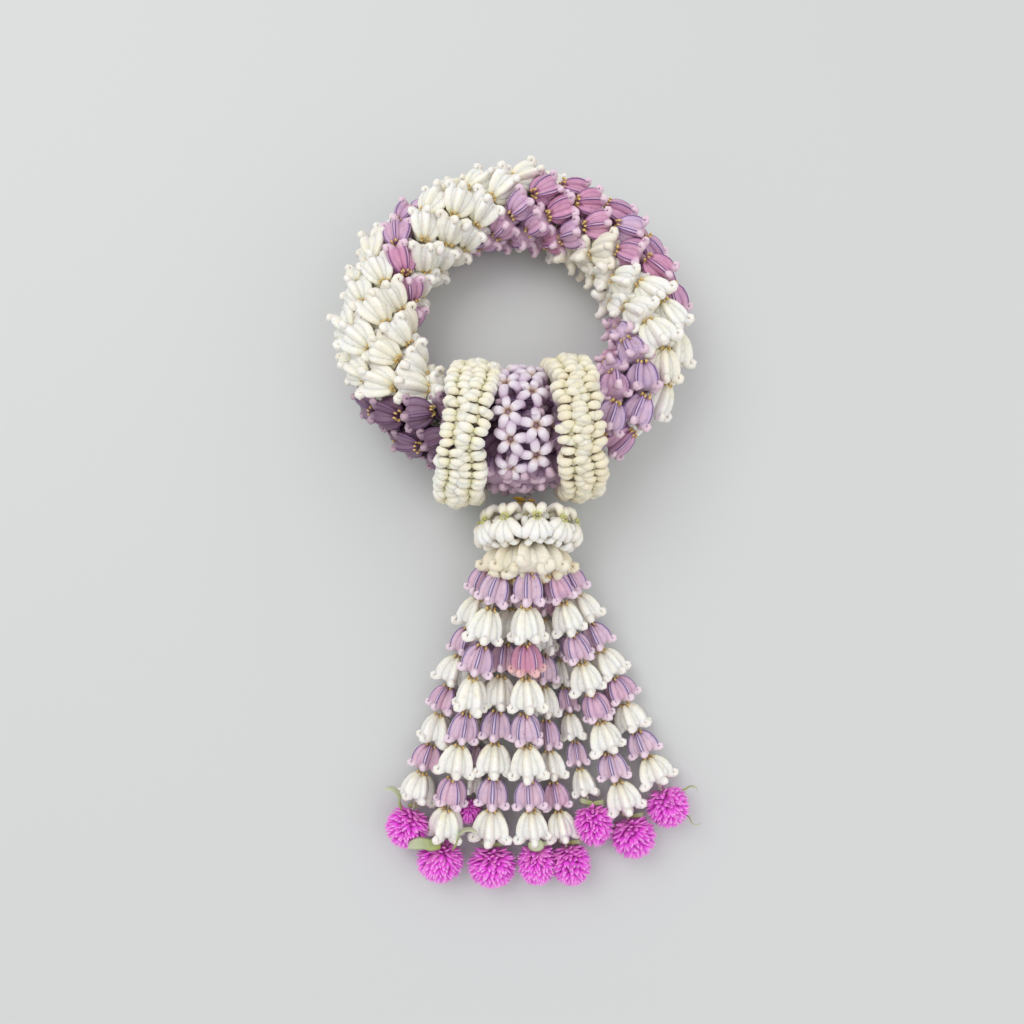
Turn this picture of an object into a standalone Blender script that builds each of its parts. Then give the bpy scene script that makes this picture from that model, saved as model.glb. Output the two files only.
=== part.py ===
"""A floral armlet: a ring of threaded crown flowers with a tassel of flower strands.

The ring is made of tiers of six crown flowers, nested like cups on an inner thread and laid to
point clockwise seen from above. A sleeve of purple flowers between two white collars covers the
place where the ring is closed. The tassel hangs from a tie under the sleeve: a white collar, a
skirt of white flowers, nine strands of eight flowers each, and globe flower heads at their ends.
The armlet lies on z = 0, with the tassel along -Y. Lengths are in metres.
"""

import math
from collections import namedtuple

import bmesh
import bpy
from mathutils import Matrix, Vector

mm = 0.001

# --- driving dimensions -------------------------------------------------------------------------
RING_RADIUS = 53.5 * mm          # middle of the rope of flowers, away from the sleeve
RING_CENTRE = Vector((0.0, 71.5 * mm, 0.0))
RING_FRONT_ANGLE = math.radians(-86.5)
RING_FLATTENING = 0.144          # how much nearer the rope runs under the sleeve
RING_FLAT_POWER = 8
ROPE_RADIUS = 18.7 * mm
ROPE_FRONT_HEIGHT = 28.4 * mm    # the collars lift the front of the rope
ROPE_BACK_HEIGHT = 18.6 * mm

TIER_COUNT = 28
TIER_SIDES = 12                  # two to each of a tier's six flowers
TIER_TWIST = math.radians(40)    # from one tier to the next
TIER_LOBE = 0.045
CUP_GAP = 0.7 * mm
THREAD_RADIUS = 0.8 * mm
BORE_RADIUS = 1.4 * mm

JOIN_HALF = 39.2 * mm            # length along the rope, each way from the sleeve's middle
RIM_LEAD = 7.0 * mm              # how far a cup's outside lies ahead of its hub
JOIN_RADIUS = 17.4 * mm

COLLAR_OFFSET = 22.4 * mm
COLLAR_HALF_WIDTH = 11.2 * mm
COLLAR_RADIUS = 28.6 * mm
COLLAR_BORE = 23.7 * mm
COLLAR_LEAN = math.radians(9)
COLLAR_SIDES = 24

SLEEVE_HALF_WIDTH = 7.5 * mm
SLEEVE_RADIUS = 24.6 * mm
SLEEVE_BORE = 17.9 * mm

TASSEL_TOP = Vector((5.6 * mm, 1.7 * mm, 20.4 * mm))
TASSEL_COLLAR_Y = -9.6 * mm
TASSEL_COLLAR_RADIUS = 20.2 * mm
TASSEL_COLLAR_HALF_WIDTH = 7.3 * mm
TIE_RADIUS = 4.2 * mm
TIE_END_Y = -25.5 * mm
THREAD_SPREAD = 3.4 * mm         # how far from the tie's middle the outer threads leave it
SKIRT_START_Y = -17.3 * mm
SKIRT_LENGTH = 10.6 * mm
SKIRT_RADIUS = 16.2 * mm

FLOWERS_IN_STRAND = 8
STRAND_SIDES = 10                # two to each of a flower's five lobes
STRAND_THREAD = 0.6 * mm
HEAD_RADIUS = 8.2 * mm
FIT_GAP = 0.35 * mm
BUNCH_RADIUS = 14.0 * mm         # of the strands where they leave the skirt

Strand = namedtuple("Strand", "first middle head girth head_width")

# Each strand, in mm: where its first flower starts, its middle and the centre of its head, then
# its flowers' radius and half its head's width. Those underneath are squeezed by those on top.
STRANDS = {
    "strand_1": Strand((-13.0, -30.5, 15.5), (-26.1, -75.2, 7.2), (-39.7, -122.3, 8.2), 5.2, 8.2),
    "strand_2": Strand((-5.5, -31.0, 25.0), (-18.5, -84.5, 17.0), (-27.5, -135.0, 8.2), 5.2, 8.2),
    "strand_3": Strand((-9.0, -31.5, 5.0), (-12.9, -76.0, 4.6), (-16.9, -117.0, 5.2), 4.1, 5.2),
    "strand_4": Strand((0.8, -31.5, 14.0), (-6.4, -84.2, 13.0), (-7.9, -136.8, 8.2), 5.2, 8.2),
    "strand_5": Strand((5.5, -31.0, 29.5), (4.8, -84.7, 18.0), (8.6, -135.5, 8.2), 5.2, 6.6),
    "strand_6": Strand((11.5, -31.5, 15.5), (13.0, -88.0, 7.5), (22.0, -136.0, 8.2), 4.1, 6.6),
    "strand_7": Strand((16.0, -31.5, 5.2), (21.0, -75.9, 4.6), (30.1, -121.0, 8.6), 4.1, 7.8),
    "strand_8": Strand((16.0, -31.0, 25.0), (31.1, -77.5, 12.0), (45.4, -126.0, 8.2), 5.2, 8.2),
    "strand_9": Strand((23.5, -30.5, 15.5), (40.8, -71.8, 7.2), (58.2, -114.6, 8.2), 5.2, 8.2),
}

# --- colours ------------------------------------------------------------------------------------
IVORY = (0.86, 0.83, 0.70, 1.0)
PURPLE = (0.42, 0.24, 0.47, 1.0)
LILAC = (0.62, 0.50, 0.68, 1.0)
MAGENTA = (0.72, 0.11, 0.52, 1.0)
THREAD_WHITE = (0.88, 0.86, 0.80, 1.0)
YELLOW = (0.80, 0.55, 0.12, 1.0)

# The tiers' colour bands, counted clockwise from the left collar.
PURPLE_TIERS = set(range(5, 9)) | set(range(15, 20)) | set(range(24, 28))


# --- scene and material helpers -----------------------------------------------------------------
def clear_scene():
    for obj in list(bpy.data.objects):
        bpy.data.objects.remove(obj, do_unlink=True)


def new_collection(name):
    collection = bpy.data.collections.new(name)
    bpy.context.scene.collection.children.link(collection)
    return collection


def finish(name, bm, colour, roughness=0.6):
    """Turn a bmesh into a named object with its own material."""
    for vert in bm.verts:
        vert.co.z = max(vert.co.z, 0.0)
    bmesh.ops.recalc_face_normals(bm, faces=bm.faces)
    if bm.calc_volume(signed=True) < 0.0:
        bmesh.ops.reverse_faces(bm, faces=bm.faces)
    mesh = bpy.data.meshes.new(name)
    bm.to_mesh(mesh)
    bm.free()
    mesh.shade_smooth()
    mesh.set_sharp_from_angle(angle=math.radians(40))
    material = bpy.data.materials.new(name + "_finish")
    material.use_nodes = True
    shader = material.node_tree.nodes["Principled BSDF"]
    shader.inputs["Base Color"].default_value = colour
    shader.inputs["Roughness"].default_value = roughness
    shader.inputs["Metallic"].default_value = 0.0
    mesh.materials.append(material)
    obj = bpy.data.objects.new(name, mesh)
    COLLECTION.objects.link(obj)
    return obj


# --- shape helpers ------------------------------------------------------------------------------
def turned(profile, sides, closed):
    """Spin a profile of (distance along the axis, radius) points about the X axis."""
    bm = bmesh.new()
    verts = [bm.verts.new((along, radius, 0.0)) for along, radius in profile]
    edges = [bm.edges.new(pair) for pair in zip(verts, verts[1:])]
    if closed:
        edges.append(bm.edges.new((verts[-1], verts[0])))
    bmesh.ops.spin(bm, geom=verts + edges, cent=(0, 0, 0), axis=(1, 0, 0),
                   angle=math.tau, steps=sides, use_duplicate=False)
    bmesh.ops.remove_doubles(bm, verts=bm.verts, dist=0.00001)
    return bm


def lobe(bm, count, depth, past_radius, phase=0.0):
    """Swell and pinch the outside into lobes round the X axis."""
    for vert in bm.verts:
        radius = math.hypot(vert.co.y, vert.co.z)
        if radius > past_radius:
            angle = math.atan2(vert.co.z, vert.co.y) - phase
            scale = 1.0 + depth * math.cos(count * angle)
            vert.co.y *= scale
            vert.co.z *= scale


def turn_about_axis(bm, angle):
    bmesh.ops.rotate(bm, verts=bm.verts, cent=(0, 0, 0), matrix=Matrix.Rotation(angle, 3, "X"))


class Route:
    """A line through many points that a straight shape along X can be laid on."""

    def __init__(self, points, up, looped=False):
        self.points = points
        self.up = up
        self.looped = looped
        self.reach = [0.0]
        for before, after in zip(points, points[1:]):
            self.reach.append(self.reach[-1] + (after - before).length)
        self.length = self.reach[-1]

    def place(self, distance):
        """The point at a distance along the line, running straight on past its ends."""
        if self.looped:
            distance %= self.length
        step = 0
        while step < len(self.points) - 2 and self.reach[step + 1] < distance:
            step += 1
        share = (distance - self.reach[step]) / (self.reach[step + 1] - self.reach[step])
        return self.points[step].lerp(self.points[step + 1], share)

    def frame(self, distance, reach=1.0 * mm):
        here = self.place(distance)
        ahead = (self.place(distance + reach) - self.place(distance - reach)).normalized()
        side = ahead.cross(self.up).normalized()
        return here, ahead, side, side.cross(ahead)

    def lay(self, bm, start=0.0):
        for vert in bm.verts:
            here, _, side, top = self.frame(start + vert.co.x)
            vert.co = here + side * vert.co.y + top * vert.co.z


def set_down(bm, centre, axis, up=Vector((0, 0, 1))):
    """Place a shape made along X at a centre, with its length along an axis."""
    side = up.cross(axis).normalized()
    top = axis.cross(side)
    turn = Matrix((axis, side, top)).transposed().to_4x4()
    bmesh.ops.transform(bm, matrix=Matrix.Translation(centre) @ turn, verts=bm.verts)


# --- the ring -----------------------------------------------------------------------------------
def ring_route():
    """The rope's middle line, clockwise from above, from the middle of the sleeve."""
    samples = 720
    rise = (ROPE_FRONT_HEIGHT - ROPE_BACK_HEIGHT) / (2.0 * RING_RADIUS)
    points = []
    for step in range(samples + 1):
        turn = math.tau * step / samples
        flat = max(0.0, math.cos(turn)) ** RING_FLAT_POWER
        radius = RING_RADIUS * (1.0 - RING_FLATTENING * flat)
        angle = RING_FRONT_ANGLE - turn
        x = radius * math.cos(angle)
        y = radius * math.sin(angle)
        height = ROPE_BACK_HEIGHT + rise * (RING_RADIUS - y)
        points.append(RING_CENTRE + Vector((x, y, height)))
    up = Vector((0.0, rise, 1.0)).normalized()
    return Route(points, up, looped=True)


def cup_profile(pitch):
    """The outline of one nested cup: back, rim and front, from the bore out and back."""
    back = [(0.0, BORE_RADIUS), (3.0 * mm, 8.0 * mm), (RIM_LEAD, 14.0 * mm)]
    rim = [(12.4 * mm, ROPE_RADIUS), (14.6 * mm, 18.0 * mm)]
    front = [(along + pitch - CUP_GAP, radius) for along, radius in reversed(back)]
    return back + rim + front


def make_tiers(route):
    start = JOIN_HALF - RIM_LEAD
    pitch = (route.length - 2.0 * JOIN_HALF) / TIER_COUNT
    for number in range(TIER_COUNT):
        bm = turned(cup_profile(pitch), TIER_SIDES, closed=True)
        lobe(bm, TIER_SIDES // 2, TIER_LOBE, past_radius=17.0 * mm)
        turn_about_axis(bm, number * TIER_TWIST)
        route.lay(bm, start + number * pitch)
        colour = PURPLE if number in PURPLE_TIERS else IVORY
        finish(f"ring_tier_{number + 1:02d}", bm, colour)


def make_join(route):
    """The closed part of the rope inside the sleeve and the collars."""
    length = 2.0 * JOIN_HALF
    back = [(0.0, BORE_RADIUS), (3.0 * mm, 8.0 * mm), (RIM_LEAD, 14.0 * mm)]
    front = [(along + length - CUP_GAP, radius) for along, radius in reversed(back)]
    steps = 9
    outside = []
    bore = []
    for step in range(steps + 1):
        share = step / steps
        outside.append((11.0 * mm + share * (length - 8.0 * mm), JOIN_RADIUS))
        if 0 < step < steps:
            bore.append((length - CUP_GAP - share * (length - CUP_GAP), BORE_RADIUS))
    bm = turned(back + outside + front + bore, 16, closed=True)
    route.lay(bm, -JOIN_HALF - RIM_LEAD)
    finish("ring_join", bm, IVORY)


def make_ring_thread(route):
    samples = 48
    sides = 5
    bm = bmesh.new()
    rings = []
    for step in range(samples):
        here, _, side, top = route.frame(route.length * step / samples)
        ring = []
        for corner in range(sides):
            angle = math.tau * corner / sides
            offset = side * math.cos(angle) + top * math.sin(angle)
            ring.append(bm.verts.new(here + offset * THREAD_RADIUS))
        rings.append(ring)
    for ring, following in zip(rings, rings[1:] + rings[:1]):
        for corner in range(sides):
            after = (corner + 1) % sides
            bm.faces.new((ring[corner], ring[after], following[after], following[corner]))
    finish("ring_thread", bm, THREAD_WHITE, roughness=0.9)


# --- collars and sleeve -------------------------------------------------------------------------
def band_profile(half_width, radius, bore, valley=1.2 * mm):
    """A band with two rounded rows of flowers, as an outline from the bore out and back."""
    half = [(0.0, radius - valley), (0.20, radius), (0.55, radius), (0.85, radius - 1.6 * mm),
            (1.0, radius - 4.0 * mm), (1.0, bore)]
    right = [(share * half_width, height) for share, height in half]
    left = [(-share * half_width, height) for share, height in reversed(half[1:])]
    return left + right


def make_collar(route, name, side):
    centre, _, _, _ = route.frame(-side * COLLAR_OFFSET)
    across = math.radians(90) + RING_FRONT_ANGLE + side * COLLAR_LEAN
    axis = Vector((math.cos(across), math.sin(across), 0.0))
    facet_drop = COLLAR_RADIUS * math.cos(math.pi / COLLAR_SIDES)
    centre.z = facet_drop
    bm = turned(band_profile(COLLAR_HALF_WIDTH, COLLAR_RADIUS, COLLAR_BORE), COLLAR_SIDES, True)
    turn_about_axis(bm, math.pi / COLLAR_SIDES)
    set_down(bm, centre, axis)
    finish(name, bm, IVORY)


def make_sleeve(route):
    bm = turned(band_profile(SLEEVE_HALF_WIDTH, SLEEVE_RADIUS, SLEEVE_BORE), 18, True)
    route.lay(bm)
    finish("sleeve", bm, LILAC)


# --- the tassel ---------------------------------------------------------------------------------
def tassel_frame(y):
    return Vector((TASSEL_TOP.x, y, TASSEL_TOP.z)), Vector((0.0, -1.0, 0.0))


def make_tassel_tie():
    """The knotted cord under the sleeve, with its yellow petals at the top."""
    reach = TASSEL_TOP.y - TIE_END_Y
    profile = [(0.0, 0.0), (0.4 * mm, 3.4 * mm), (1.8 * mm, 4.6 * mm), (3.2 * mm, TIE_RADIUS),
               (reach, TIE_RADIUS), (reach, 0.0)]
    bm = turned(profile, 12, closed=False)
    set_down(bm, *tassel_frame(TASSEL_TOP.y))
    finish("tassel_tie", bm, YELLOW)


def make_tassel_collar():
    bore = TIE_RADIUS + 0.7 * mm
    bm = turned(band_profile(TASSEL_COLLAR_HALF_WIDTH, TASSEL_COLLAR_RADIUS, bore), 20, True)
    turn_about_axis(bm, math.pi / 20)
    set_down(bm, *tassel_frame(TASSEL_COLLAR_Y))
    finish("tassel_collar", bm, IVORY)


def make_skirt():
    """Eight flowers in a ring, opening down over the first flowers of the strands."""
    bore = TIE_RADIUS + 0.7 * mm
    profile = [(0.0, bore), (0.0, 8.0 * mm), (3.0 * mm, 13.0 * mm), (8.2 * mm, SKIRT_RADIUS),
               (SKIRT_LENGTH, SKIRT_RADIUS - 0.8 * mm), (SKIRT_LENGTH - 1.0 * mm, 12.5 * mm),
               (5.5 * mm, 9.0 * mm), (2.2 * mm, bore)]
    bm = turned(profile, 16, closed=True)
    lobe(bm, 8, 0.05, past_radius=12.8 * mm)
    set_down(bm, *tassel_frame(SKIRT_START_Y))
    finish("skirt", bm, IVORY)


def strand_route(first, middle, head):
    """A smooth line through three points, from the first flower to the head's centre."""
    samples = 40
    points = []
    for step in range(samples + 1):
        share = step / samples
        weights = ((1 - share) * (1 - 2 * share), 4 * share * (1 - share), share * (2 * share - 1))
        points.append(first * weights[0] + middle * weights[1] + head * weights[2])
    return points


def make_strand(name, strand):
    """Eight flowers end to end on a thread that comes from the tie."""
    first, middle, head = (Vector(station) * mm for station in strand[:3])
    girth = strand.girth * mm
    head_radius = min(HEAD_RADIUS, head.z)
    outward = Vector((first.x - TASSEL_TOP.x, 0.0, first.z - TASSEL_TOP.z))
    spread = THREAD_SPREAD * min(1.0, outward.length / BUNCH_RADIUS)
    start = Vector((TASSEL_TOP.x, TIE_END_Y - 2.0 * FIT_GAP, TASSEL_TOP.z))
    start += outward.normalized() * spread
    thread_length = (first - start).length
    route = Route([start] + strand_route(first, middle, head), Vector((0, 0, 1)))
    flowers_length = route.length - thread_length - head_radius - FIT_GAP
    pitch = flowers_length / FLOWERS_IN_STRAND
    profile = [(0.0, 0.0), (0.0, STRAND_THREAD), (thread_length - 0.5 * mm, STRAND_THREAD)]
    for flower in range(FLOWERS_IN_STRAND):
        base = thread_length + flower * pitch
        for share, size in ((0.0, 0.38), (0.38, 0.86), (0.84, 1.0), (0.98, 0.60)):
            profile.append((base + share * pitch, size * girth))
    profile.append((thread_length + flowers_length, 0.0))
    bm = turned(profile, STRAND_SIDES, closed=False)
    lobe(bm, 5, 0.06, past_radius=0.8 * girth, phase=math.radians(90))
    route.lay(bm)
    finish(name, bm, LILAC)


def make_head(name, strand):
    """A globe flower head, narrower where two are pressed together."""
    _, middle, head = (Vector(station) * mm for station in strand[:3])
    along = (head - middle).normalized()
    radius = min(HEAD_RADIUS, head.z)
    profile = []
    rings = 7
    for ring in range(rings + 1):
        angle = math.pi * ring / rings
        profile.append((-radius * math.cos(angle), radius * math.sin(angle)))
    bm = turned(profile, 12, closed=False)
    for vert in bm.verts:
        vert.co.y *= strand.head_width * mm / radius
    set_down(bm, head, along)
    finish(name, bm, MAGENTA)


def make_tassel():
    make_tassel_tie()
    make_tassel_collar()
    make_skirt()
    for name, strand in STRANDS.items():
        make_strand(name, strand)
        make_head(name.replace("strand", "head"), strand)


clear_scene()
COLLECTION = new_collection("floral_armlet")
RING = ring_route()
make_tiers(RING)
make_join(RING)
make_ring_thread(RING)
make_collar(RING, "collar_left", -1)
make_collar(RING, "collar_right", 1)
make_sleeve(RING)
make_tassel()
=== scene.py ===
import math
import random

import bmesh
import bpy
import numpy as np
from mathutils import Matrix, Vector


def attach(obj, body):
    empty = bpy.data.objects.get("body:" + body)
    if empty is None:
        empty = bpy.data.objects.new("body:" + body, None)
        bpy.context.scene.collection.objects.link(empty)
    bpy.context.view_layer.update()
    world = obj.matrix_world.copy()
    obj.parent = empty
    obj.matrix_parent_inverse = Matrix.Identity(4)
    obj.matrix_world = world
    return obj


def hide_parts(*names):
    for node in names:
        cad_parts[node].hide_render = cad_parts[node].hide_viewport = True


bl_info = {
    "name": "Floral Armlet",
    "version": (1, 0, 0),
    "blender": (4, 5, 0),
    "location": "View3D > Sidebar > Armlet",
    "description": "Dresses the armlet's solids with threaded crown flowers and globe flower heads",
    "category": "Object",
}

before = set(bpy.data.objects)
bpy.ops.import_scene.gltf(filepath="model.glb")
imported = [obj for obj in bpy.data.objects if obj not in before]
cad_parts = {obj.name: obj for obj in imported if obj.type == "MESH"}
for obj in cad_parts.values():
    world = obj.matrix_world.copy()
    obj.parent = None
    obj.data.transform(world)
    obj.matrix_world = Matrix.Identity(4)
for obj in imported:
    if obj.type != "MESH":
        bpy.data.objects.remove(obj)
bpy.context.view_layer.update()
MM = 0.001

# --- the rope's middle line ---
RING_RADIUS = 53.5 * MM
RING_CENTRE = Vector((0.0, 71.5 * MM, 0.0))
RING_FRONT_ANGLE = math.radians(-86.5)
RING_FLATTENING = 0.144
RING_FLAT_POWER = 8
ROPE_FRONT_HEIGHT = 28.4 * MM
ROPE_BACK_HEIGHT = 18.6 * MM
TIER_COUNT = 28
TIER_TWIST = 40.0
TIER_FLOWERS = 5
ROPE_SAMPLES = 720

# Half the length of the rope's join, and how far the first tier's flowers reach into it.
JOIN_HALF = 39.2 * MM
RIM_LEAD = 7.0 * MM

# How far from the rope's middle its flowers start, and how long one is before it is stretched.
RING_FLOWER_OUT = 11.6 * MM
RING_FLOWER_LENGTH = 12.0 * MM

# --- collars, sleeve and tassel ---
COLLAR_OFFSET = 22.4 * MM
COLLAR_RADIUS = 28.6 * MM
COLLAR_LEAN = math.radians(9)
COLLAR_SIDES = 24
SLEEVE_RADIUS = 24.6 * MM
TASSEL_TOP = Vector((5.6, 1.7, 20.4)) * MM
TASSEL_COLLAR_Y = -9.6 * MM
TIE_END_Y = -25.5 * MM
SKIRT_START_Y = -17.3 * MM
SKIRT_FLOWERS = 8
RIGHT, UP, DOWN = Vector((1.0, 0.0, 0.0)), Vector((0.0, 0.0, 1.0)), Vector((0.0, -1.0, 0.0))

# Each collar: its side of the sleeve, how much nearer to the sleeve than its solid in mm, how many
# degrees more it leans, and how far its rows are from its middle in mm.
COLLARS = {"collar_left": (1.0, 2.7, 3.0, 4.0), "collar_right": (-1.0, 2.1, -6.5, 3.5)}

# The sleeve's open arc, in degrees, where purple flowers come out: for each of those the degrees
# round the rope, how far sideways in mm and its spin. The hidden ones lie under the stars.
SLEEVE_GAP = (150.0, 208.0)
SLEEVE_CURLED = ((156, -8.6, 30), (158, 8.2, 6), (163, 0.0, 0), (182, -4.8, 20), (184, 4.6, -8))
SLEEVE_HIDDEN = (66, 98, 128, 152)

# The tassel collar's rows: the kind of flower, how many, where the first is as a share of a step,
# how far out and how far down in mm, how much each tips down, and its size.
TASSEL_ROWS = (
    ("drooping", 10, 0.25, 18.9, -0.9, 0.20, 1.02),
    ("star", 11, 0.60, 17.6, 6.2, -0.35, 0.80),
    ("star", 8, 0.10, 13.4, -2.4, 1.10, 0.85),
)

# How pink each purple band's flowers are, from lilac at 0 to plum pink at 1; below 0 is darker.
# The fourth band's tones, all below 0, are painted shade: that band faces down and outward, in
# shade.
BAND_TONES = {
    "purple_1": (0.0, 0.6), "purple_2": (0.35, 1.1), "purple_3": (-0.3, 0.8),
    "purple_4": (-1.5, -0.9),
}

# Each strand, in mm: its first flower's base, its middle, its head's centre and half its head's
# width, then how much its flowers are squeezed by the strands on top.
STRANDS = {
    "strand_1": ((-9.6, -26.0, 17.5), (-26.1, -75.2, 7.2), (-39.7, -122.0, 8.2), 8.7, 1.0),
    "strand_2": ((-5.0, -29.4, 25.5), (-18.5, -84.5, 17.0), (-27.3, -134.0, 8.2), 9.3, 1.0),
    "strand_3": ((-9.0, -31.5, 5.0), (-12.9, -76.0, 4.6), (-16.9, -117.0, 5.2), 5.2, 0.72),
    "strand_4": ((1.0, -29.2, 14.0), (-6.4, -84.2, 13.0), (-7.9, -135.8, 8.2), 9.6, 1.0),
    "strand_5": ((5.6, -28.6, 29.8), (4.8, -84.7, 18.0), (8.8, -134.8, 8.2), 7.9, 1.0),
    "strand_6": ((12.4, -32.6, 15.0), (13.0, -88.0, 7.5), (21.4, -135.0, 8.2), 7.9, 0.85),
    "strand_7": ((16.0, -31.5, 5.2), (21.0, -75.9, 4.6), (30.1, -121.0, 8.6), 7.8, 0.72),
    "strand_8": ((15.4, -28.8, 25.3), (31.1, -77.5, 12.0), (45.0, -125.5, 8.2), 8.9, 1.0),
    "strand_9": ((19.6, -25.6, 17.5), (40.8, -71.8, 7.2), (58.2, -114.6, 8.2), 8.6, 1.0),
}
STRAND_FLOWERS = 8
RED_FLOWER = ("strand_5", 2)
RED_TONE = 1.42

# A crown flower's length, and a globe head's radius and the furthest that its bracts reach.
FLOWER_LENGTH = {"white": 13.2 * MM, "purple": 11.8 * MM}
HEAD_RADIUS = 8.2 * MM
HEAD_REACH = 8.4 * MM
GOLDEN_ANGLE = math.radians(137.508)

# The green leaves round a head: the way each grows, the side it curls to, its size and where it
# starts from the head's centre, in mm.
HEAD_LEAVES = {
    "head_1": (((-0.10, 1.0, 0.45), (-1.0, 0.1, 0.1), 0.95, (-2.0, 6.6, 3.0)),
               ((0.8, -0.1, -0.4), (0, 0, -1), 0.5, (0.0, 7.4, 0.0))),
    "head_2": (((-1.0, 0.25, 0.40), (-0.3, -0.5, -0.8), 1.10, (0.5, 6.2, 5.6)),
               ((0.40, 1.0, 0.35), (0.9, 0.0, 0.2), 1.05, (5.0, 5.0, 5.0))),
    "head_5": (((0.9, -0.2, 0.5), (1, 0, -1), 0.45, (0.0, 7.6, 1.0)),),
    "head_9": (((0.9, 0.5, 0.3), (0.4, -0.8, 0.0), 0.55, (5.0, 6.0, 3.0)),
               ((0.5, -0.9, 0.1), (1, 0, 0), 0.55, (6.8, -3.0, 2.0))),
}

# The two small leaves of every other head.
PLAIN_LEAVES = (((-0.8, 0.2, 0.0), (0, 0, -1), 0.5, (0.0, 7.0, 0.0)),
                ((0.8, 0.1, 0.0), (0, 0, -1), 0.5, (0.0, 7.0, 0.0)))

# Where each colour of the ring's flowers begins, in degrees clockwise from the sleeve's middle,
# along the top of the rope.
RING_BANDS = [
    ("purple_4", -400.0), ("white_1", 42.5), ("purple_1", 108.5), ("white_2", 131.5),
    ("purple_2", 194.5), ("white_3", 247.5), ("purple_3", 284.5),
]

# Degrees between two of a flower's five lobes; half of it sets a panel where a lobe was.
LOBE_ANGLE = 72.0
HALF_ANGLE = 36.0

# A lobe's cross-section from its keel round one side to its inner edge, as shares of its half depth
# and its half thickness; the other side mirrors it.
WHITE_SECTION = [(1.0, 0.0), (0.90, 0.42), (0.55, 0.80), (-0.50, 1.50), (-1.0, 0.0)]
PURPLE_SECTION = [(1.0, 0.0), (0.92, 0.36), (0.55, 0.76), (-0.50, 1.55), (-1.0, 0.0)]

# The same for the five-sided body between a flower's lobes, from one lobe's side round to the
# panel opposite.
BODY_SECTION = [
    (1.0, 0.0), (0.68, 0.49), (0.31, 0.95), (-0.26, 0.80), (-0.81, 0.59), (-0.84, 0.0)]

# The girth that the body shows beside a lobe and in the middle of a panel, and the shares of the
# way to the curl that the colours of a body and of a short grain run over.
BESIDE_LOBE, PANEL_MIDDLE = 0.34, 0.56
BODY_SHARE, GRAIN_SHARE = 0.52, 0.58

# A body's stations, in mm: how far along the flower's axis, and how wide from it.
WHITE_BODY = [
    (0.2, 0.9), (0.9, 2.7), (2.4, 4.2), (5.0, 5.5), (7.4, 6.0), (9.2, 5.9), (10.3, 5.0),
    (10.5, 3.0)]
PURPLE_BODY = [
    (0.2, 0.9), (0.8, 2.6), (2.0, 4.0), (4.2, 5.1), (6.2, 5.5), (7.8, 5.3), (8.8, 4.5), (9.0, 2.6)]
STAR_CORE = [(2.0, 0.3), (1.6, 0.6), (2.0, 0.9), (4.0, 1.9), (8.0, 2.4)]

# Up to this height a star's core has the colour of its middle.
STAR_MIDDLE = 2.3 * MM

# A lobe's stations, in mm and degrees: how far out from the flower's axis, how far along it, the
# way the lobe heads from that axis, then its half depth and its half thickness. A crown flower's
# lobe starts to curl at station CURL_STATION.
CURL_STATION = 7
WHITE_LOBE = [
    (0.9, 0.0, 34, 0.50, 0.50), (2.3, 1.2, 34, 1.60, 1.05), (3.0, 3.2, 16, 2.55, 1.52),
    (3.55, 5.5, 8, 3.00, 1.76), (3.9, 7.6, 3, 3.05, 1.80), (4.25, 9.3, 8, 2.50, 1.60),
    (4.85, 10.6, 36, 1.80, 1.50), (5.9, 11.6, 84, 1.44, 1.60), (7.2, 11.45, 134, 1.40, 1.60),
    (7.7, 10.2, 196, 1.36, 1.52), (6.7, 9.25, 264, 1.14, 1.26), (5.95, 9.9, 345, 0.62, 0.68),
]
PURPLE_LOBE = [
    (1.0, 0.0, 50, 0.50, 0.50), (2.35, 0.9, 42, 1.35, 1.00), (2.95, 2.6, 18, 2.30, 1.45),
    (3.35, 4.4, 8, 2.72, 1.62), (3.6, 6.1, 3, 2.75, 1.64), (3.9, 7.7, 8, 2.25, 1.46),
    (4.4, 8.9, 36, 1.55, 1.28), (5.3, 9.75, 84, 1.24, 1.32), (6.4, 9.55, 134, 1.20, 1.30),
    (6.8, 8.55, 196, 1.14, 1.22), (6.0, 7.8, 264, 0.96, 1.02), (5.4, 8.35, 345, 0.54, 0.56),
]
GRAIN_LOBE = [
    (0.7, 1.5, 60, 0.45, 0.60), (1.5, 1.0, 80, 1.05, 1.25), (2.8, 0.8, 90, 1.45, 1.75),
    (4.2, 1.0, 72, 1.60, 1.85), (5.1, 2.1, 32, 1.60, 1.65), (5.2, 4.0, 2, 1.40, 1.40),
    (4.7, 6.6, -10, 1.20, 1.20), (3.9, 9.4, -14, 0.95, 1.00),
]
LONG_GRAIN = [
    (0.7, 1.3, 60, 0.45, 0.60), (1.6, 0.8, 82, 1.05, 1.25), (3.2, 0.5, 90, 1.45, 1.70),
    (5.0, 0.6, 86, 1.60, 1.92), (6.5, 1.1, 66, 1.65, 1.95), (7.5, 2.2, 34, 1.55, 1.80),
    (7.9, 3.6, 8, 1.15, 1.30),
]

# The height under which petals are pressed up by what they lie on.
PRESSED_HEIGHT = 2.0 * MM

# What the camera looks at, where it is, and its lens in mm; then each light's place and width, in
# metres, and its power in watts.
VIEW_TARGET = Vector((-0.5, -2.5, 10.0)) * MM
CAMERA_PLACE = Vector((-0.5, -56.0, 313.3)) * MM
LENS_LENGTH = 27.03
LIGHTS = {"key_light": ((-0.45, 0.35, 0.9), 0.7, 3.6), "fill_light": ((0.7, -0.3, 0.7), 0.9, 1.9)}


def tint(red, green, blue):
    """A colour given as it looks on a screen, from 0 to 255, as Blender's linear numbers."""
    def linear(value):
        share = value / 255.0
        return share / 12.92 if share <= 0.04045 else ((share + 0.055) / 1.055) ** 2.4
    return (linear(red), linear(green), linear(blue), 1.0)


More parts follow.
